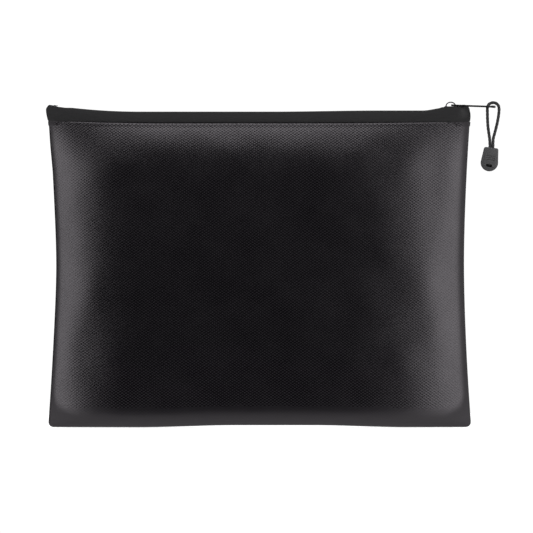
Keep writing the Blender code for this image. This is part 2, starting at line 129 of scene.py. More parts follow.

# in metres
CAMERA_PLACE, LENS, SENSOR = (0.0056, -5.0, 0.128), 423.6, 36
FLOOR_BACK, FLOOR_DEPTH, FLOOR_HALF_WIDTH = 0.5, 0.54, 0.6  # it ends just in front of the bag
FLOOR_LEVEL, FLOOR_GLOW = -0.0006, 0.75
SKY, BACKDROP = 0.001, 1.05  # what lights the bag from all round, and what the camera sees
LIGHT_TARGET = (0, 0, 0.13)


# ---------------------------------------------------------------- numbers and meshes


def smooth(low, high, value):
    """0 below low, 1 above high, and an easy curve between them."""
    t = np.clip((np.asarray(value, float) - low) / (high - low), 0, 1)
    return t * t * (3 - 2 * t)


def catmull(points, spacing):
    """Points about spacing apart on a smooth curve through points."""
    p = np.asarray(points, float)
    p = np.vstack([2 * p[0] - p[1], p, 2 * p[-1] - p[-2]])
    t = np.linspace(0, 1, 24, endpoint=False)[:, None]
    pieces = [
        0.5 * (2 * b + (c - a) * t + (2 * a - 5 * b + 4 * c - d) * t**2
               + (3 * b - a - 3 * c + d) * t**3)
        for a, b, c, d in zip(p, p[1:], p[2:], p[3:])
    ]
    fine = np.vstack([*pieces, p[-2]])
    walked = np.concatenate([[0], np.cumsum(np.linalg.norm(np.diff(fine, axis=0), axis=1))])
    stops = np.linspace(0, walked[-1], max(round(walked[-1] / spacing), 2) + 1)
    return np.stack([np.interp(stops, walked, fine[:, k]) for k in range(fine.shape[1])], axis=1)


def add_object(name, mesh, material):
    obj = bpy.data.objects.new(name, mesh)
    bpy.context.scene.collection.objects.link(obj)
    mesh.materials.clear()
    mesh.materials.append(material)
    return obj


def make_mesh(name, points, faces, coords, material, sharp=50):
    """A smooth-shaded piece; coords is what its material reads as its own surface place, in mm."""
    mesh = bpy.data.meshes.new(name)
    mesh.from_pydata((np.asarray(points) * MM).tolist(), [], faces)
    place = mesh.attributes.new("cloth", "FLOAT_VECTOR", "POINT")
    place.data.foreach_set("vector", np.asarray(coords, np.float32).ravel())
    mesh.shade_smooth()
    mesh.set_sharp_from_angle(angle=math.radians(sharp))
    return add_object(name, mesh, material)


def across_and_along(grid):
    """Distances over the cloth: along each row from its middle, and up the middle column."""
    steps = np.linalg.norm(np.diff(grid, axis=1), axis=2)
    s = np.concatenate([np.zeros((len(grid), 1)), np.cumsum(steps, axis=1)], axis=1)
    s -= s[:, s.shape[1] // 2][:, None]
    middle = grid[:, grid.shape[1] // 2]
    t = np.concatenate([[0], np.cumsum(np.linalg.norm(np.diff(middle, axis=0), axis=1))])
    return s, np.repeat(t[:, None], grid.shape[1], axis=1)


def grid_normals(grid):
    n = np.cross(np.gradient(grid, axis=1), np.gradient(grid, axis=0))
    return n / np.maximum(np.linalg.norm(n, axis=2), 1e-9)[:, :, None]


def sheet_piece(name, grid, thickness, coords, material):
    """Cloth of real thickness, whose outer side is grid: its rows go up and its columns across."""
    rows, columns = grid.shape[:2]
    inner = grid - thickness * grid_normals(grid)
    o = np.arange(rows * columns).reshape(rows, columns)
    i = o + rows * columns

    def quads(a, b, c, d):
        return np.stack([a.ravel(), b.ravel(), c.ravel(), d.ravel()], axis=1)

    faces = np.vstack([
        quads(o[:-1, :-1], o[:-1, 1:], o[1:, 1:], o[1:, :-1]),
        quads(i[:-1, :-1], i[1:, :-1], i[1:, 1:], i[:-1, 1:]),
        quads(o[0, 1:], o[0, :-1], i[0, :-1], i[0, 1:]),
        quads(o[-1, :-1], o[-1, 1:], i[-1, 1:], i[-1, :-1]),
        quads(o[1:, -1], o[:-1, -1], i[:-1, -1], i[1:, -1]),
        quads(o[:-1, 0], o[1:, 0], i[1:, 0], i[:-1, 0]),
    ])
    points = np.concatenate([grid.reshape(-1, 3), inner.reshape(-1, 3)])
    both = np.concatenate([coords.reshape(-1, 3)] * 2)
    return make_mesh(name, points, faces.tolist(), both, material)


def tube_part(path, radius, sides):
    """(points, faces, coords) of a closed tube; radius is one number, or one per ring and side."""
    path = np.asarray(path, float)
    tangents = np.gradient(path, axis=0)
    tangents /= np.linalg.norm(tangents, axis=1)[:, None]
    start = (0.0, 1.0, 0.0) if abs(tangents[0][1]) < 0.9 else (0.0, 0.0, 1.0)
    side = np.cross(tangents[0], start)
    carried = []
    for tangent in tangents:
        side = side - tangent * (side @ tangent)
        side = side / np.linalg.norm(side)
        carried.append(side)
    side = np.array(carried)
    other = np.cross(tangents, side)
    turn = np.arange(sides) * 2 * math.pi / sides
    out = np.cos(turn)[:, None] * side[:, None] + np.sin(turn)[:, None] * other[:, None]
    reach = np.broadcast_to(radius, (len(path), sides))
    points = (path[:, None] + reach[:, :, None] * out).reshape(-1, 3)
    k = np.arange(len(path) * sides).reshape(len(path), sides)
    turned = np.roll(k, -1, axis=1)
    faces = np.stack([k[:-1], turned[:-1], turned[1:], k[1:]], axis=2).reshape(-1, 4).tolist()
    faces += [k[0][::-1].tolist(), k[-1].tolist()]
    walked = np.concatenate([[0], np.cumsum(np.linalg.norm(np.diff(path, axis=0), axis=1))])
    coords = np.stack([
        np.broadcast_to(turn, reach.shape), np.broadcast_to(walked[:, None], reach.shape), reach
    ], axis=2)
    return points, faces, coords.reshape(-1, 3)


def join_parts(name, parts, material, sharp=50):
    points, faces, coords, first = [], [], [], 0
    for p, f, c in parts:
        points.append(p)
        coords.append(c)
        faces += [[v + first for v in face] for face in f]
        first += len(p)
    return make_mesh(name, np.vstack(points), faces, np.vstack(coords), material, sharp)


# ---------------------------------------------------------------- materials


class Look:
    """A Principled material, with short calls that add nodes to it."""

    def __init__(self, name, colour, roughness, **sockets):
        self.material = bpy.data.materials.new(name)
        self.material.use_nodes = True
        self.tree = self.material.node_tree
        self.shader = self.tree.nodes["Principled BSDF"]
        self.set("Base Color", colour)
        self.set("Roughness", roughness)
        for socket, value in sockets.items():
            self.set(socket.replace("_", " "), value)

    def plug(self, socket, value):
        if isinstance(value, bpy.types.NodeSocket):
            self.tree.links.new(value, socket)
        elif socket.type == "RGBA" and len(value) == 3:
            socket.default_value = (*value, 1)
        else:
            socket.default_value = value

    def set(self, socket, value):
        self.plug(self.shader.inputs[socket], value)

    def node(self, kind, output=0, inputs=(), **settings):
        made = self.tree.nodes.new(kind)
        for key, value in settings.items():
            setattr(made, key, value)
        for socket, value in dict(inputs).items():
            self.plug(made.inputs[socket], value)
        return made.outputs[output]

    def math(self, operation, *values, clamp=False):
        return self.node(
            "ShaderNodeMath", operation=operation, use_clamp=clamp, inputs=enumerate(values)
        )

    def range(self, value, low, high, to_low=0.0, to_high=1.0):
        """value from low to high becomes to_low to to_high, and stops at both."""
        inputs = {0: value, 1: low, 2: high, 3: to_low, 4: to_high}
        return self.node("ShaderNodeMapRange", inputs=inputs, interpolation_type="SMOOTHSTEP")

    def mix(self, share, a, b):
        inputs = {0: share, 6: a, 7: b}
        return self.node("ShaderNodeMix", output=2, data_type="RGBA", inputs=inputs)

    def noise(self, place, scale, detail=2.0, roughness=0.5):
        inputs = {"Vector": place, "Scale": scale, "Detail": detail, "Roughness": roughness}
        return self.node("ShaderNodeTexNoise", inputs=inputs)

    def surface_place(self):
        """The piece's own surface coordinates, in mm: the vector, and its three numbers."""
        vector = self.node("ShaderNodeAttribute", output="Vector", attribute_name="cloth")
        split = self.tree.nodes.new("ShaderNodeSeparateXYZ")
        self.tree.links.new(vector, split.inputs[0])
        return vector, split.outputs[0], split.outputs[1], split.outputs[2]

    def object_place(self):
        """The place in the piece's own frame, in mm."""
        place = self.node("ShaderNodeTexCoord", output="Object")
        inputs = {0: place, "Scale": 1000.0}
        return self.node("ShaderNodeVectorMath", operation="SCALE", inputs=inputs)

    def bump(self, height, distance):
        inputs = {"Height": height, "Distance": distance, "Strength": 1.0}
        return self.node("ShaderNodeBump", inputs=inputs)


def checker_weave(look, s, t, pitch_s, pitch_t):
    """A plain weave from -1 to 1: above 0 the upright yarn is on top, below 0 the level one."""
    upright = look.math("COSINE", look.math("MULTIPLY", s, math.pi / pitch_s))
    level = look.math("COSINE", look.math("MULTIPLY", t, math.pi / pitch_t))
    return look.math("MULTIPLY", upright, level)


def coated_cloth():
    look = Look("coated_cloth", (0.012, 0.011, 0.013), 0.45)
    vector, s, t, edge = look.surface_place()
    wander = look.noise(vector, 0.09, 1.0)
    s = look.math("ADD", s, look.math("MULTIPLY", wander, 1.2))
    weave = checker_weave(look, s, t, 1.6, 1.11)
    # Near edges, folds and corners the weave's light dots are left out, so the cloth shows its darker
    # ground there: painted shade, with more roughness.
    plain_and_shaded = look.range(edge, 0.0, 0.85)
    woven = look.math("SUBTRACT", 1.0, plain_and_shaded)
    dots = look.math("MULTIPLY", look.range(weave, 0.25, -0.75), woven)
    clouds = look.noise(vector, 0.035, 3.0, 0.6)
    ground = look.mix(clouds, (0.0014, 0.0011, 0.0018), (0.0028, 0.0024, 0.0033))
    scuffs = look.range(look.noise(vector, 0.35, 5.0, 0.7), 0.58, 0.8)
    worn = look.math("MULTIPLY", scuffs, look.range(edge, 0.35, 1.0), clamp=True)
    ground = look.mix(look.math("MULTIPLY", worn, 0.5), ground, (0.035, 0.033, 0.036))
    look.set("Base Color", look.mix(dots, ground, (0.0130, 0.0118, 0.0143)))
    rough = look.range(clouds, 0.3, 0.7, 0.235, 0.265)
    rough = look.math("ADD", rough, look.math("MULTIPLY", dots, 0.08))
    rough = look.math("ADD", rough, look.math("MULTIPLY", plain_and_shaded, 0.28))
    look.set("Roughness", look.math("ADD", rough, look.math("MULTIPLY", worn, 0.1), clamp=True))
    look.set("Specular Tint", (1.0, 0.94, 1.0))
    fine = look.noise(vector, 5.0, 2.0)
    height = look.math("MULTIPLY", look.math("ADD", weave, look.math("MULTIPLY", fine, 0.2)), woven)
    look.set("Normal", look.bump(height, 0.028 * MM))
    return look.material


def lining_cloth():
    look = Look("lining_cloth", (0.32, 0.33, 0.33), 0.7)
    vector, s, t, _ = look.surface_place()
    weave = checker_weave(look, s, t, 1.3, 1.2)
    clouds = look.noise(vector, 0.05, 4.0, 0.6)
    yarns = look.mix(look.range(weave, -0.8, 0.8), (0.26, 0.27, 0.27), (0.40, 0.41, 0.40))
    look.set("Base Color", look.mix(look.range(clouds, 0.35, 0.8), yarns, (0.22, 0.225, 0.22)))
    look.set("Roughness", look.range(weave, -1, 1, 0.78, 0.6))
    height = look.math("ADD", weave, look.math("MULTIPLY", look.noise(vector, 6.0), 0.6))
    look.set("Normal", look.bump(height, 0.08 * MM))
    return look.material


def zip_tape():
    look = Look("zip_tape", (0.03, 0.028, 0.03), 0.88, Sheen_Weight=0.12, Sheen_Roughness=0.6)
    vector, s, t, _ = look.surface_place()
    ribs = checker_weave(look, s, t, 0.55, 0.5)
    lines = look.math("COSINE", look.math("MULTIPLY", s, math.pi / 0.55))
    fuzz = look.noise(vector, 1.4, 5.0, 0.7)
    thread = look.mix(fuzz, (0.008, 0.0076, 0.0084), (0.018, 0.0172, 0.0188))
    look.set("Base Color", look.mix(look.range(ribs, 0.2, -0.9), thread, (0.009, 0.0085, 0.0095)))
    look.set("Roughness", look.range(fuzz, 0.2, 0.8, 0.82, 0.95))
    height = look.math("ADD", look.math("MULTIPLY", lines, 0.6), look.math("ADD", ribs, fuzz))
    look.set("Normal", look.bump(height, 0.028 * MM))
    return look.material


def zip_coil():
    look = Look("zip_coil", (0.02, 0.02, 0.02), 0.4)
    place = look.object_place()
    marks = look.noise(place, 1.2, 3.0)
    look.set("Base Color", look.mix(marks, (0.014, 0.014, 0.015), (0.032, 0.031, 0.033)))
    look.set("Roughness", look.range(marks, 0.3, 0.7, 0.34, 0.5))
    look.set("Normal", look.bump(look.noise(place, 5.0), 0.02 * MM))
    return look.material


def thread():
    look = Look("thread", (0.02, 0.02, 0.02), 0.7)
    _, turn, along, _ = look.surface_place()
    twist = look.math("ADD", look.math("MULTIPLY", along, 7.0), look.math("MULTIPLY", turn, 2.0))
    ply = look.math("SINE", twist)
    look.set("Base Color", look.mix(look.range(ply, -1, 1), (0.01, 0.01, 0.011), (0.03, 0.029, 0.031)))
    look.set("Roughness", look.range(ply, -1, 1, 0.8, 0.62))
    look.set("Normal", look.bump(ply, 0.05 * MM))
    return look.material


def binding():
    look = Look("binding", (0.04, 0.04, 0.04), 0.9)
    place = look.object_place()
    split = look.tree.nodes.new("ShaderNodeSeparateXYZ")
    look.tree.links.new(place, split.inputs[0])
    weave = checker_weave(look, split.outputs[0], split.outputs[2], 0.7, 0.6)
    fuzz = look.noise(place, 1.5, 4.0, 0.7)
    shade = look.mix(fuzz, (0.028, 0.028, 0.029), (0.055, 0.054, 0.056))
    look.set("Base Color", look.mix(look.range(weave, 0.3, -0.9), shade, (0.015, 0.015, 0.016)))
    look.set("Roughness", look.range(fuzz, 0.2, 0.8, 0.82, 0.96))
    look.set("Normal", look.bump(weave, 0.08 * MM))
    return look.material


def slider_metal():
    look = Look("slider_metal", (0.015, 0.015, 0.016), 0.35, Metallic=0.6)
    place = look.object_place()
    pointed = look.node("ShaderNodeNewGeometry", output="Pointiness")
    scratches = look.noise(place, 2.2, 5.0, 0.7)
    edge = look.math("MULTIPLY", look.range(pointed, 0.53, 0.62), look.range(scratches, 0.42, 0.62))
    look.set("Base Color", look.mix(edge, (0.015, 0.015, 0.016), (0.16, 0.155, 0.15)))
    look.set("Roughness", look.range(scratches, 0.3, 0.75, 0.28, 0.5))
    look.set("Normal", look.bump(look.noise(place, 3.5, 3.0), 0.03 * MM))
    return look.material


def cord_braid():
    look = Look("cord", (0.008, 0.008, 0.009), 0.8, Sheen_Weight=0.1, Sheen_Roughness=0.6)
    reach = look.surface_place()[-1]
    # Base colour darker in the grooves between the braid's strands than on their tops: painted shade in
    # the grooves.
    high = look.range(reach, 0.46 * CORD_DIAMETER, 0.51 * CORD_DIAMETER)
    look.set("Base Color", look.mix(high, (0.0035, 0.0035, 0.004), (0.014, 0.0135, 0.015)))
    look.set("Roughness", look.range(high, 0, 1, 0.9, 0.7))
    yarns = look.noise(look.object_place(), 4.5, 3.0, 0.6)
    look.set("Normal", look.bump(yarns, 0.08 * MM))
    return look.material


def grip_plastic():
    look = Look("grip_plastic", (0.07, 0.07, 0.075), 0.5)
    place = look.object_place()
    grain = look.noise(place, 2.6, 4.0, 0.6)
    pointed = look.node("ShaderNodeNewGeometry", output="Pointiness")
    shade = look.mix(grain, (0.045, 0.045, 0.048), (0.060, 0.060, 0.063))
    look.set("Base Color", look.mix(look.range(pointed, 0.53, 0.6, 0, 0.5), shade, (0.12, 0.12, 0.125)))
    look.set("Roughness", look.range(grain, 0.3, 0.7, 0.42, 0.58))
    look.set("Normal", look.bump(grain, 0.012 * MM))
    return look.material


LOOKS = {
    "coated_cloth": coated_cloth(),
    "lining_cloth": lining_cloth(),
    "zip_tape": zip_tape(),
    "zip_coil": zip_coil(),
    "thread": thread(),
    "binding": binding(),
    "slider_metal": slider_metal(),
    "cord": cord_braid(),
    "grip_plastic": grip_plastic(),
}


def place_on(obj, body, slot, *nodes):
    """obj rides on one body and stands for nodes; slot is not used."""
    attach(obj, body)
    return stands_for(obj, slot, *nodes)


def stands_for(obj, slot, *nodes):
    if nodes:
        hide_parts(*nodes)
    return obj


# ---------------------------------------------------------------- camera


def make_camera():
    data = bpy.data.cameras.new("camera")
    data.sensor_width = SENSOR
    data.lens = LENS
    camera = bpy.data.objects.new("camera", data)
    camera.location = CAMERA_PLACE
    camera.rotation_euler = (math.radians(90), 0, 0)
    bpy.context.scene.collection.objects.link(camera)
    bpy.context.scene.camera = camera


make_camera()


# ---------------------------------------------------------------- cord


def make_cord():
    route = np.array([(x, CORD_Y, z) for x, z in CORD_ROUTE])
    spacing, sides, strands = 0.3, 24, 4
    path = catmull(route, spacing)
    turn = np.arange(sides) * 2 * math.pi / sides
    walked = np.arange(len(path))[:, None] * spacing
    one = np.cos(strands * turn + 2 * math.pi * walked / CORD_LAY)
    two = np.cos(strands * turn - 2 * math.pi * walked / CORD_LAY)
    radius = CORD_DIAMETER / 2 * (1.0 + 0.07 * np.maximum(one, two))
    obj = join_parts("cord_braid", [tube_part(path, radius, sides)], LOOKS["cord"], 80)
    end = Vector(path[0]) * MM
    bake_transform(obj)
    stands_for(obj, "cord", "cord_loop")
    return obj, path * MM, end


cord, cord_path, cord_exit = make_cord()


# ---------------------------------------------------------------- cloth shapes


def half_width(z):
    flare = np.abs((z - WAIST_HEIGHT) / FLARE_REACH) ** FLARE_POWER
    drop = np.clip(CORNER_RADIUS - z, 0, CORNER_RADIUS)
    rounding = CORNER_RADIUS - np.sqrt(CORNER_RADIUS**2 - drop**2)
    return WAIST_HALF_WIDTH + SIDE_FLARE * flare - rounding


def edge_share(depth, x):
    """Share of the thickness at a depth in from the side edge, on the side that x is."""
    reach = np.where(np.asarray(x) < 0, EDGE_REACH[LEFT], EDGE_REACH[RIGHT])
    slope = 1 - (1 - np.clip(depth / reach, 0, 1)) ** EDGE_POWER
    fold = np.sqrt(1 - (1 - np.clip(depth / 1.1, 0, 1)) ** 2)
    return 0.08 * fold + 0.92 * slope


def end_curl(x):
    """The way the zip's left end curls up, from 0 where the curl starts."""
    return CURL_RISE * np.clip((CURL_START - np.asarray(x, float)) / CURL_RUN, 0, 1) ** 2


def zip_sag(x):
    """How far the zip dips between its ends."""
    dip = np.minimum(end_curl(x) - ZIP_DIP, 0)
    return dip + 0.9 * smooth(10, 95, x) + 2.2 * smooth(130, 147.5, x)


def seam_shift(x):
    """The seam's own dip and rise where the cloth meets the tape."""
    return 0.6 * smooth(-118, -155, x) - 0.5 * smooth(-135, -80, x) * smooth(150, 60, x) - 0.35


def foot_point(angle):
    turn = math.radians(angle)
    across = BASE_HALF + (BODY_HALF - BASE_HALF) * math.sin(turn)
    return across, FOOT_RISE * (1 - math.cos(turn))


def wedge(z):
    share = (z - WEDGE_START) / (SEAM_HEIGHT - WEDGE_START)
    return BODY_HALF - (BODY_HALF - SEAM_HALF) * share**2


def panel_profile(side):
    """(distance from the middle plane, height) up one side, with the base strip on the front."""
    if side == FRONT:
        points = [(-foot_point(a)[0], foot_point(a)[1] + 0.7) for a in (14, 9)]
        points += [(-BASE_HALF, 0.4), (-6, 0.0)]
        points += [(y, 0.0) for y in (-3, 0, 3, 6, BASE_HALF)]
    else:
        points = [foot_point(4)]
    points += [foot_point(a) for a in range(9, 91, 9)]
    points += [(BODY_HALF, z) for z in np.linspace(16, WEDGE_START, 50)]
    points += [(wedge(z), z) for z in np.linspace(WEDGE_START + 2.5, 241, 20)]
    return np.array(points + HEM)


def columns_at(edge):
    """x across a row from -edge to edge, and the depth in from the nearer side."""
    inner = np.linspace(edge - DEPTHS[-1], 0, MIDDLE_STEPS + 1)[1:]
    x = np.concatenate([edge - DEPTHS, inner])
    return np.concatenate([-x, x[::-1][1:]])


def soft_noise(x, z, scale, seed):
    return noise.noise(Vector((x / scale, z / scale, seed)))


def draw_in(x, z):
    """How far each side edge stays short of the bag's plain outline."""
    left = 0.75 * smooth(228, 200, z) + 0.7 * np.exp(-(((z - 128) / 45) ** 2))
    return np.where(x < 0, left, 0.4)


def panel_grid(side):
    """The outer face of one side's cloth, and how near each point is to an edge or fold: there the
    weave fades out and the cloth is painted darker, as painted shade.
    """
    rows, weave_fade_and_shade = [], []
    for out, z in panel_profile(side):
        edge = float(half_width(max(z, 0.0))) + EDGE_PUFF
        x = columns_at(edge)
        depth = edge - np.abs(x)
        y = out * edge_share(depth, x)
        y = np.sign(out) * np.maximum(np.abs(y), 0.06) if out else y
        x = x * (1 - draw_in(x, z) / edge)
        rise = FOOT_LIFT * smooth(108, 30, np.abs(x - 12)) * (1 - smooth(4, 75, z))
        height = z + rise + seam_shift(x) * smooth(WEDGE_START, 243, z)
        rows.append(np.stack([x, y, height], axis=1))
        # Foot, hem ditch, side edges and bottom corners: weave faded out and base colour painted
        # darker, painted shade where the cloth turns away.
        fold = np.exp(-(((z - 1) / FOOT_PLAIN_SHADE) ** 2))
        fold += 0.6 * np.exp(-(((z - 243.7) / HEM_PLAIN_SHADE) ** 2))
        edge_strip_shade = np.exp(-((depth / np.where(x < 0, EDGE_PLAIN_SHADE[LEFT], EDGE_PLAIN_SHADE[RIGHT])) ** 2))
        corner_shade = 0.5 * smooth(32, 18, depth + z)
        weave_fade_and_shade.append(np.clip(edge_strip_shade + fold + corner_shade, 0, 1))
    grid = np.array(rows)
    seed = WAVE_SEED[side]
    for row in grid:
        for point in row:
            x, y, z = point
            depth = float(half_width(max(z, 0.0))) - abs(x)
            loose = float(smooth(2, 30, depth) * smooth(4, 40, z) * smooth(246, 215, z))
            wave = soft_noise(x, z, 70, seed) + 0.35 * soft_noise(x, z, 26, seed + 4)
            point[1] += WAVE_DEPTH * loose * wave
    grid[:, :, 1] *= -1
    if side == BACK:
        grid = (grid * (1, -1, 1))[:, ::-1]
    return grid, np.array(weave_fade_and_shade)[:, :: -side]


def cloth_coords(grid, weave_fade_and_shade=None):
    s, t = across_and_along(grid)
    return np.stack([s, t, np.zeros_like(s) if weave_fade_and_shade is None else weave_fade_and_shade], axis=2)


def parts_of(side, grid, coords):
    """A front sheet whole, or the two halves of a back sheet, which meet at x = 0."""
    if side == FRONT:
        return {"": (grid, coords)}
    middle = grid.shape[1] // 2
    return {
        "_right": (grid[:, : middle + 1], coords[:, : middle + 1]),
        "_left": (grid[:, middle:], coords[:, middle:]),
    }


def hold(obj, side, slot, node):
    """The front rides on the bag; the back keeps its place and rides on no body."""
    if side == FRONT:
        place_on(obj, "bag", slot, node)
        return
    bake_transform(obj)
    stands_for(obj, slot, node)


def make_layer(side, kind, grid, coords, slot, node):
    """One sheet of one side: the front whole, or the back in two halves."""
    layer = SIDE_NAMES[side] + kind
    for tail, (part, place) in parts_of(side, grid, coords).items():
        obj = sheet_piece(layer + tail, part, THICKNESS[slot], place, LOOKS[slot])
        hold(obj, side, slot, node)


def lining_grid(side, grid):
    """The outer face of the lining, inside the cloth whose outer face is grid."""
    lined = grid[: -len(HEM) + 1, LINING_TRIM:-LINING_TRIM]
    z = lined[:, :, 2:]
    inset = LINING_INSET + 1.05 * smooth(231, 240, z) - 0.5 * smooth(240, 242.5, z)
    room = np.abs(lined[:, :, 1:2]) - LINING - 0.03
    inset = np.where(z > 16, np.clip(inset, 0, np.maximum(room, CLOTH + 0.02)), inset)
    inner = lined - inset * grid_normals(lined)
    return inner[LINING_SKIP:] if side == FRONT else inner


def make_panels():
    for side, name in SIDE_NAMES.items():
        grid, weave_fade_and_shade = panel_grid(side)
        inner = lining_grid(side, grid)
        coords = cloth_coords(grid, weave_fade_and_shade)
        make_layer(side, "_cloth", grid, coords, "coated_cloth", name + "_panel")
        coords = cloth_coords(inner)
        make_layer(
            side, "_inner_cloth", inner, coords, "lining_cloth", name + "_lining"
        )


make_panels()


# ---------------------------------------------------------------- zip tape, coils and stitches

def ear(x):
    """How far the zip's sewn ends stand up."""
    right = np.maximum(1.2 * smooth(139, 147, x), 2.1 * smooth(155.5, 162.5, x))
    return np.maximum(end_curl(x) - ZIP_DIP, 0) + right


def tape_grid(side):
    share = np.sin(np.linspace(-1, 1, 121) * math.pi / 2)
    share = np.sign(share) * (1 - (1 - np.abs(share)) ** 0.8)
    rows = []
    for out, z, left, right in TAPE_SECTION:
        x = np.where(share < 0, share * left, share * right)
        depth = float(half_width(SEAM_HEIGHT)) + EDGE_PUFF - np.abs(x)
        follow = float(smooth(252.5, 244.5, z))
        drawn = 1 - follow * (1 - edge_share(np.maximum(depth, 0.35), x))
        drawn *= 1 - 0.86 * smooth(158.5, 168.5, np.abs(x))
        y = np.maximum(out * drawn, 0.68)
        lid_room = smooth(-163.5, -157.5, x) * smooth(159, 157.5, x) * float(smooth(4.7, 4.3, out))
        height = z + ear(x) * float(smooth(252.6, 253.9, z)) * (1 - lid_room)
        height += seam_shift(x) * float(smooth(249, 244, z)) + zip_sag(x) * float(smooth(245, 252, z))
        rows.append(np.stack([x, -y, height], axis=1))
    grid = np.array(rows)
    return grid if side == FRONT else (grid * (1, -1, 1))[:, ::-1]


def coil_path(side, x_low, x_high):
    """The coil's helix: its heads reach past the middle, except where the slider parts them."""
    per_turn = 10
    phase = 0 if side == FRONT else 0.5
    first = math.ceil((x_low / COIL_PITCH) * per_turn)
    last = math.floor((x_high / COIL_PITCH) * per_turn)
    k = np.arange(first, last + 1)
    x = k * COIL_PITCH / per_turn
    turn = 2 * math.pi * (k / per_turn + phase)
    head = 0.2 - 1.2 * smooth(142, 148, np.abs(x))
    outer = -2.65
    y = (outer + head) / 2 + (head - outer) / 2 * np.cos(turn)
    z = COIL_MIDDLE + COIL_RISE * np.sin(turn) + zip_sag(x)
    return np.stack([x, y * -side, z], axis=1)


def stitch_parts(path, outward, pitch, share, radius):
    """Separate stitches along a path: each one rises from the cloth and sinks back into it."""
    spacing = 0.2
    fine = catmull(path, spacing)
    count = int(len(fine) * spacing / pitch)
    parts = []
    for k in range(count):
        low = int(k * pitch / spacing)
        high = min(low + int(share * pitch / spacing), len(fine) - 1)
        if high - low < 4:
            continue
        picked = fine[np.linspace(low, high, 7).astype(int)]
        lift = np.sin(np.linspace(0, math.pi, 7)) ** 0.5 * 0.3 - 0.2
        picked = picked + lift[:, None] * np.asarray(outward, float)
        parts.append(tube_part(picked, radius, 6))
    return parts


def tape_stitches(side, low, high):
    """The row of stitches that holds the tape to the cloth, from x = low to high."""
    x = np.linspace(max(low, -STITCHED_HALF), min(high, STITCHED_HALF), 40)
    depth = float(half_width(SEAM_HEIGHT)) + EDGE_PUFF - np.abs(x)
    across = TAPE_WIDEST * edge_share(depth, x) - TAPE - 0.05
    row = np.stack([x, side * across, STITCHED_HEIGHT + seam_shift(x)], axis=1)
    return stitch_parts(row, (0, -side, 0), *ZIP_STITCH)


def make_zip():
    for side, name in SIDE_NAMES.items():
        grid = tape_grid(side)
        coords = cloth_coords(grid)
        make_layer(side, "_tape", grid, coords, "zip_tape", name + "_zip_tape")
        spans = {"": (-COIL_HALF, COIL_HALF)}
        if side == BACK:
            spans = {"_left": (-COIL_HALF, 0.0), "_right": (0.0, COIL_HALF)}
        for tail, (low, high) in spans.items():
            helix = tube_part(coil_path(side, low, high), COIL_WIRE, 6)
            coil = join_parts(name + "_coil" + tail, [helix], LOOKS["zip_coil"], 80)
            stitches = tape_stitches(side, low, high)
            seam = join_parts(name + "_tape_stitches" + tail, stitches, LOOKS["thread"])
            hold(coil, side, "zip_coil", name + "_zip_coil")
            hold(seam, side, "thread", name + "_zip_stitching")


def make_side_seams():
    """Stitches along each binding, and the thread across the zip's ends."""
    for end, name in END_NAMES.items():
        z = np.linspace(17, 233, 30)
        row = np.stack([end * (half_width(z) - 7), np.full_like(z, -0.72), z], axis=1)
        stitches = stitch_parts(row, (0, -1, 0), *SEAM_STITCH)
        seam = join_parts(name + "_side_stitches", stitches, LOOKS["thread"])
        place_on(seam, "bag", "thread", name + "_seam_stitching")
        parts = []
        for k in range(BARTACK_THREADS):
            x = end * (BARTACK_START + BARTACK_STEP * k)
            reach = BARTACK_REACH * (1 - 0.6 * float(smooth(158.5, 168.5, abs(x)))) + 0.12 * (k % 2)
            y = np.linspace(-reach, reach, 9)
            z = 254.72 + float(ear(x)) + 0.22 * np.cos(y / reach * math.pi / 2) - 0.1
            parts.append(tube_part(np.stack([np.full(9, x), y, z], axis=1), 0.17, 6))
        tack = join_parts(name + "_bartack_thread", parts, LOOKS["thread"])
        place_on(tack, "bag", "thread", name + "_zip_bartack")


make_zip()
make_side_seams()
for end_name in END_NAMES.values():
    binding_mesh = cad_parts[end_name + "_seam_binding"].data
    binding_mesh.materials.clear()
    binding_mesh.materials.append(LOOKS["binding"])


# ---------------------------------------------------------------- hard parts


def freeze(obj):
    """Apply obj's modifiers, or turn a curve into a mesh, and keep its place."""
    bpy.context.view_layer.update()
    graph = bpy.context.evaluated_depsgraph_get()
    mesh = bpy.data.meshes.new_from_object(obj.evaluated_get(graph), depsgraph=graph)
    bm = bmesh.new()
    bm.from_mesh(mesh)
    bmesh.ops.remove_doubles(bm, verts=bm.verts, dist=0.004 * MM)
    bm.to_mesh(mesh)
    bm.free()
    name, place = obj.name, obj.matrix_world.copy()
    material = obj.data.materials[0]
    bpy.data.objects.remove(obj, do_unlink=True)
    mesh.shade_smooth()
    mesh.set_sharp_from_angle(angle=math.radians(35))
    made = add_object(name, mesh, material)
    made.matrix_world = place
    return made


def plate(name, loops, thickness, bevel, material, place):
    """A flat solid in its own XY plane with rounded edges; the first loop is its outline."""
    curve = bpy.data.curves.new(name, "CURVE")
    curve.dimensions = "2D"
    curve.fill_mode = "BOTH"
    curve.extrude = (thickness / 2 - bevel) * MM
    curve.bevel_depth = bevel * MM
    curve.bevel_resolution = 3
    curve.offset = -bevel * MM
    for points in loops:
        spline = curve.splines.new("POLY")
        spline.points.add(len(points) - 1)
        for target, (x, y) in zip(spline.points, points):
            target.co = (x * MM, y * MM, 0, 1)
        spline.use_cyclic_u = True
    obj = add_object(name, curve, material)
    obj.matrix_world = place
    return freeze(obj)


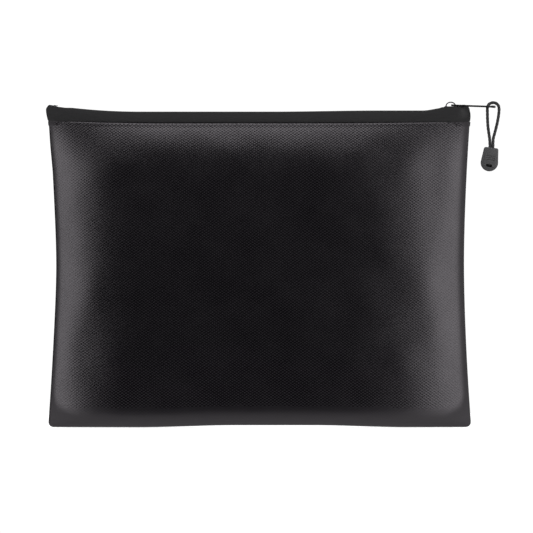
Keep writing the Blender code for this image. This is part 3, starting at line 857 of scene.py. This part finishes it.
def block(name, low, high, bevel, material, place=Matrix.Identity(4)):
    bm = bmesh.new()
    bmesh.ops.create_cube(bm, size=1.0)
    middle = [(a + b) / 2 * MM for a, b in zip(low, high)]
    size = [(b - a) * MM for a, b in zip(low, high)]
    bmesh.ops.transform(
        bm, matrix=Matrix.Translation(middle) @ Matrix.Diagonal((*size, 1)), verts=bm.verts
    )
    if bevel:
        bmesh.ops.bevel(
            bm, geom=bm.edges, offset=bevel * MM, segments=2, profile=0.5, affect="EDGES"
        )
    mesh = bpy.data.meshes.new(name)
    bm.to_mesh(mesh)
    bm.free()
    obj = add_object(name, mesh, material)
    obj.matrix_world = place
    return obj


def combine(obj, others, operation):
    for other in others:
        step = obj.modifiers.new("step", "BOOLEAN")
        step.operation = operation
        step.solver = "EXACT"
        step.object = other
    made = freeze(obj)
    for other in others:
        bpy.data.objects.remove(other, do_unlink=True)
    return made


def arc(centre, radius, start, end, steps):
    turns = [math.radians(start + (end - start) * k / steps) for k in range(steps + 1)]
    return [(centre[0] + radius * math.cos(a), centre[1] + radius * math.sin(a)) for a in turns]


def slider_outline(wide, narrow, length):
    """A slider plate seen from above: wide at the open end, narrow at the closed chain."""
    right = [(length / 2 - 0.9, wide - 0.35), (length / 2 - 2.4, wide), (length / 2 - 4.2, wide)]
    left = [(-length / 2 + 3.6, narrow), (-length / 2 + 1.0, narrow - 0.1), (-length / 2, narrow - 1.2)]
    half = [(length / 2, wide - 1.6), *right, *left]
    smooth_half = catmull(half, 0.35)
    other = [(x, -y) for x, y in smooth_half[::-1]]
    return [tuple(p) for p in smooth_half] + other


def make_slider():
    metal = LOOKS["slider_metal"]

    def flat(name, outline, low, high):
        place = Matrix.Translation((SLIDER_X * MM, 0, (low + high) / 2 * MM))
        return plate(name, [outline], high - low, 0.25, metal, place)

    body = flat("slider_shell", slider_outline(SLIDER_HALF, 3.3, SLIDER_LENGTH), *SLIDER_PLATE)
    lid = flat("slider_lid", slider_outline(4.3, 3.3, SLIDER_LENGTH), *SLIDER_LID)
    right = SLIDER_X + SLIDER_LENGTH / 2
    parts = [lid, block("post", (right - 4, -0.4, 250.8), (right - 1, 0.4, 255.0), 0.1, metal)]
    for side in (FRONT, BACK):
        y = sorted((side * 3.3, side * SLIDER_HALF))
        low, high = (SLIDER_X - 4.6, y[0], 250.6), (SLIDER_X + 4.6, y[1], 253.0)
        parts.append(block("flange", low, high, 0.15, metal))
    for end in (LEFT, RIGHT):
        x = BAIL_X + end * (BAIL_HALF_SPAN - 0.45)
        parts.append(block("lug", (x - 0.75, -1.25, 255.3), (x + 0.75, 1.25, 256.15), 0.2, metal))
    body = combine(body, parts, "UNION")
    place_on(body, "slider", "slider_metal", "slider_body")

    outline, inner = [], []
    for k in range(25):
        turn = math.pi * k / 24
        outline.append((BAIL_HALF_SPAN * math.cos(turn), BAIL_RISE * math.sin(turn)))
        short, low = BAIL_HALF_SPAN - BAIL_STRAP, BAIL_RISE - BAIL_STRAP
        inner.append((short * math.cos(turn), low * math.sin(turn)))
    upright = Matrix.Rotation(math.radians(90), 4, "X")
    place = Matrix.Translation((BAIL_X * MM, 0, BAIL_FOOT * MM)) @ upright
    bail = plate("bail_strap", [outline + inner[::-1]], 1.8, 0.3, metal, place)
    place_on(bail, "slider", "slider_metal", "slider_bail")


def make_tab():
    metal = LOOKS["slider_metal"]
    place = (
        Matrix.Translation((BAIL_X * MM, 0, TAB_AXIS_Z * MM))
        @ Matrix.Rotation(math.radians(TAB_DROOP), 4, "Y")
        @ Matrix.Translation((TAB_EYE_REACH * MM, 0, 0))
        @ Matrix.Rotation(math.radians(TAB_YAW), 4, "Z")
    )
    half, end_half, channel_half = TAB_HALF_WIDTH, TAB_END_HALF_WIDTH, TAB_CHANNEL
    end_centre = (TAB_END_AT - end_half, 0)
    neck, shank_end = 4.4, end_centre[0] - 8
    outline = arc((0, 0), TAB_EYE_RADIUS + 1.1, 50, 310, 28) + [(neck, -half), (shank_end, -half)]
    outline += arc(end_centre, end_half, -90, 90, 20) + [(shank_end, half), (neck, half)]
    eye = arc((0, 0), TAB_EYE_RADIUS, 0, 345, 23)
    hole = arc((TAB_HOLE_AT, 0), TAB_EYE_RADIUS, 0, 345, 23)
    tab = plate("tab_plate", [outline, eye, hole], TAB_THICKNESS, 0.25, metal, place)
    low, high = 6.0, end_centre[0] - 8.5
    channel = [
        (low, -channel_half), (high, -channel_half), (high, channel_half), (low, channel_half)
    ]
    for side in (1, -1):
        sunk = place @ Matrix.Translation((0, 0, side * 0.6 * MM))
        tab = combine(tab, [plate("channel", [channel], 0.5, 0.12, metal, sunk)], "DIFFERENCE")
    rim = arc(end_centre, end_half, -70, 70, 16) + arc(end_centre, end_half - 1.3, 62, -62, 16)
    tab = combine(tab, [plate("rim", [rim], 1.9, 0.3, metal, place)], "UNION")
    place_on(tab, "tab", "slider_metal", "pull_tab")


def grip_outline(inset=0.0, cut=0.0):
    """The grip's face in its own frame, mouth at z = 0; cut takes off its lower end."""
    centre = -(GRIP_LENGTH - GRIP_RADIUS)
    top, radius = GRIP_TOP_HALF - inset, GRIP_RADIUS - inset
    shoulder = arc((top - GRIP_CORNER, -GRIP_CORNER - inset), GRIP_CORNER, 90, 10, 6)
    if cut:
        foot = arc((radius - 1.7, cut - GRIP_LENGTH + 1.5), 1.5, 0, -90, 6)
        points = shoulder + foot
        return points + [(-x, z) for x, z in reversed(points)]
    points = shoulder + arc((0, centre), radius, 0, -180, 32)
    return points + [(-x, z) for x, z in reversed(shoulder)]


def make_grip_half(side, to_world):
    plastic = LOOKS["grip_plastic"]
    upright = Matrix.Rotation(math.radians(90), 4, "X")

    def at(y):
        return to_world @ Matrix.Translation((0, side * y * MM, 0)) @ upright

    def cut(x_half, y_range, z_range, bevel=0.0):
        y = sorted(side * v for v in y_range)
        low, high = (-x_half, y[0], z_range[0]), (x_half, y[1], z_range[1])
        return block("cut", low, high, bevel, plastic, to_world)

    name = SIDE_NAMES[side]
    middle = at(GRIP_GAP + GRIP_SHELL / 2)
    shell = plate("grip_" + name, [grip_outline()], GRIP_SHELL, 1.0, plastic, middle)
    pad = plate("pad", [grip_outline(1.5, 3.6)], GRIP_PAD, 0.22, plastic, at(2.0))
    shell = combine(shell, [pad], "UNION")
    cord_room = cut(4.0, (-1, 1.9), (-16.2, -3.4))
    mouth = cut(2.85, (-1, 1.55), (-4, 1))
    window = [cut(2.35, (0, 4), (-15.6, -13.4))] if side == FRONT else []
    grooves = [cut(3.9, (2.05, 4), (z - 0.38, z + 0.38), 0.1) for z in GRIP_GROOVES]
    shell = combine(shell, [cord_room, mouth, *window, *grooves], "DIFFERENCE")
    place_on(shell, "grip", "grip_plastic", "cord_grip_" + name)
    return shell


def make_knot(to_world):
    turns = np.linspace(0, 2 * math.pi * 2.25, 90)
    strand = np.stack([
        (1.55 + 0.35 * np.cos(turns * 1.5)) * np.cos(turns),
        0.42 * np.sin(turns * 1.5),
        -12.7 + 1.5 * np.sin(turns) + 0.25 * np.sin(turns * 3),
    ], axis=1)
    knot = join_parts("knot_strands", [tube_part(strand, 0.75, 14)], LOOKS["cord"], 80)
    knot.data.transform(to_world)
    place_on(knot, "grip", "cord", "cord_knot")
    return knot


def make_grip():
    tilt = Matrix.Rotation(math.radians(GRIP_TILT), 4, "Y")
    to_world = Matrix.Translation([v * MM for v in GRIP_MOUTH]) @ tilt
    return [*(make_grip_half(side, to_world) for side in SIDE_NAMES), make_knot(to_world)]


make_slider()
make_tab()
on_cord = make_grip()


# ---------------------------------------------------------------- floor, light and world


def make_stage():
    bm = bmesh.new()
    bmesh.ops.create_grid(bm, x_segments=8, y_segments=8, size=1.0)
    mesh = bpy.data.meshes.new("floor")
    bm.to_mesh(mesh)
    bm.free()
    glow = {"Emission_Color": (1, 1, 1), "Emission_Strength": FLOOR_GLOW}
    look = Look("floor", (0.9, 0.9, 0.9), 0.9, **glow)
    floor = add_object("floor", mesh, look.material)
    floor.location = (0, FLOOR_BACK - 0.5 * FLOOR_DEPTH, FLOOR_LEVEL)
    floor.scale = (FLOOR_HALF_WIDTH, 0.5 * FLOOR_DEPTH, 1)


def make_world():
    """Almost dark for the bag, so that only the softboxes light it, and white for the camera."""
    world = bpy.data.worlds.new("studio")
    bpy.context.scene.world = world
    world.use_nodes = True
    tree = world.node_tree
    background = tree.nodes["Background"]
    background.inputs["Color"].default_value = (SKY, SKY, SKY, 1)
    white = tree.nodes.new("ShaderNodeBackground")
    white.inputs["Color"].default_value = (1, 1, 1, 1)
    white.inputs["Strength"].default_value = BACKDROP
    path = tree.nodes.new("ShaderNodeLightPath")
    mix = tree.nodes.new("ShaderNodeMixShader")
    tree.links.new(path.outputs["Is Camera Ray"], mix.inputs[0])
    tree.links.new(background.outputs[0], mix.inputs[1])
    tree.links.new(white.outputs[0], mix.inputs[2])
    tree.links.new(mix.outputs[0], tree.nodes["World Output"].inputs["Surface"])
    bpy.context.scene.view_settings.view_transform = "Standard"


def softbox(name, place, size, power):
    data = bpy.data.lights.new(name, "AREA")
    data.shape = "RECTANGLE"
    data.size, data.size_y = size
    data.energy = power
    obj = bpy.data.objects.new(name, data)
    obj.location = place
    direction = Vector(LIGHT_TARGET) - Vector(place)
    obj.rotation_euler = direction.to_track_quat("-Z", "Y").to_euler()
    obj.visible_camera = False
    bpy.context.scene.collection.objects.link(obj)


make_stage()
make_world()
softbox("left_box", (-0.85, -0.98, 0.25), (0.42, 1.0), 4.9)
softbox("right_box", (0.74, -1.07, 0.25), (0.46, 1.0), 5.9)
softbox("edge_box", (1.3, 0.05, 0.25), (0.3, 1.0), 7)
softbox("top_box", (0.03, -0.92, 0.91), (1.2, 0.36), 6.3)
softbox("back_box", (-0.3, 0.95, 0.95), (1.2, 0.4), 9)
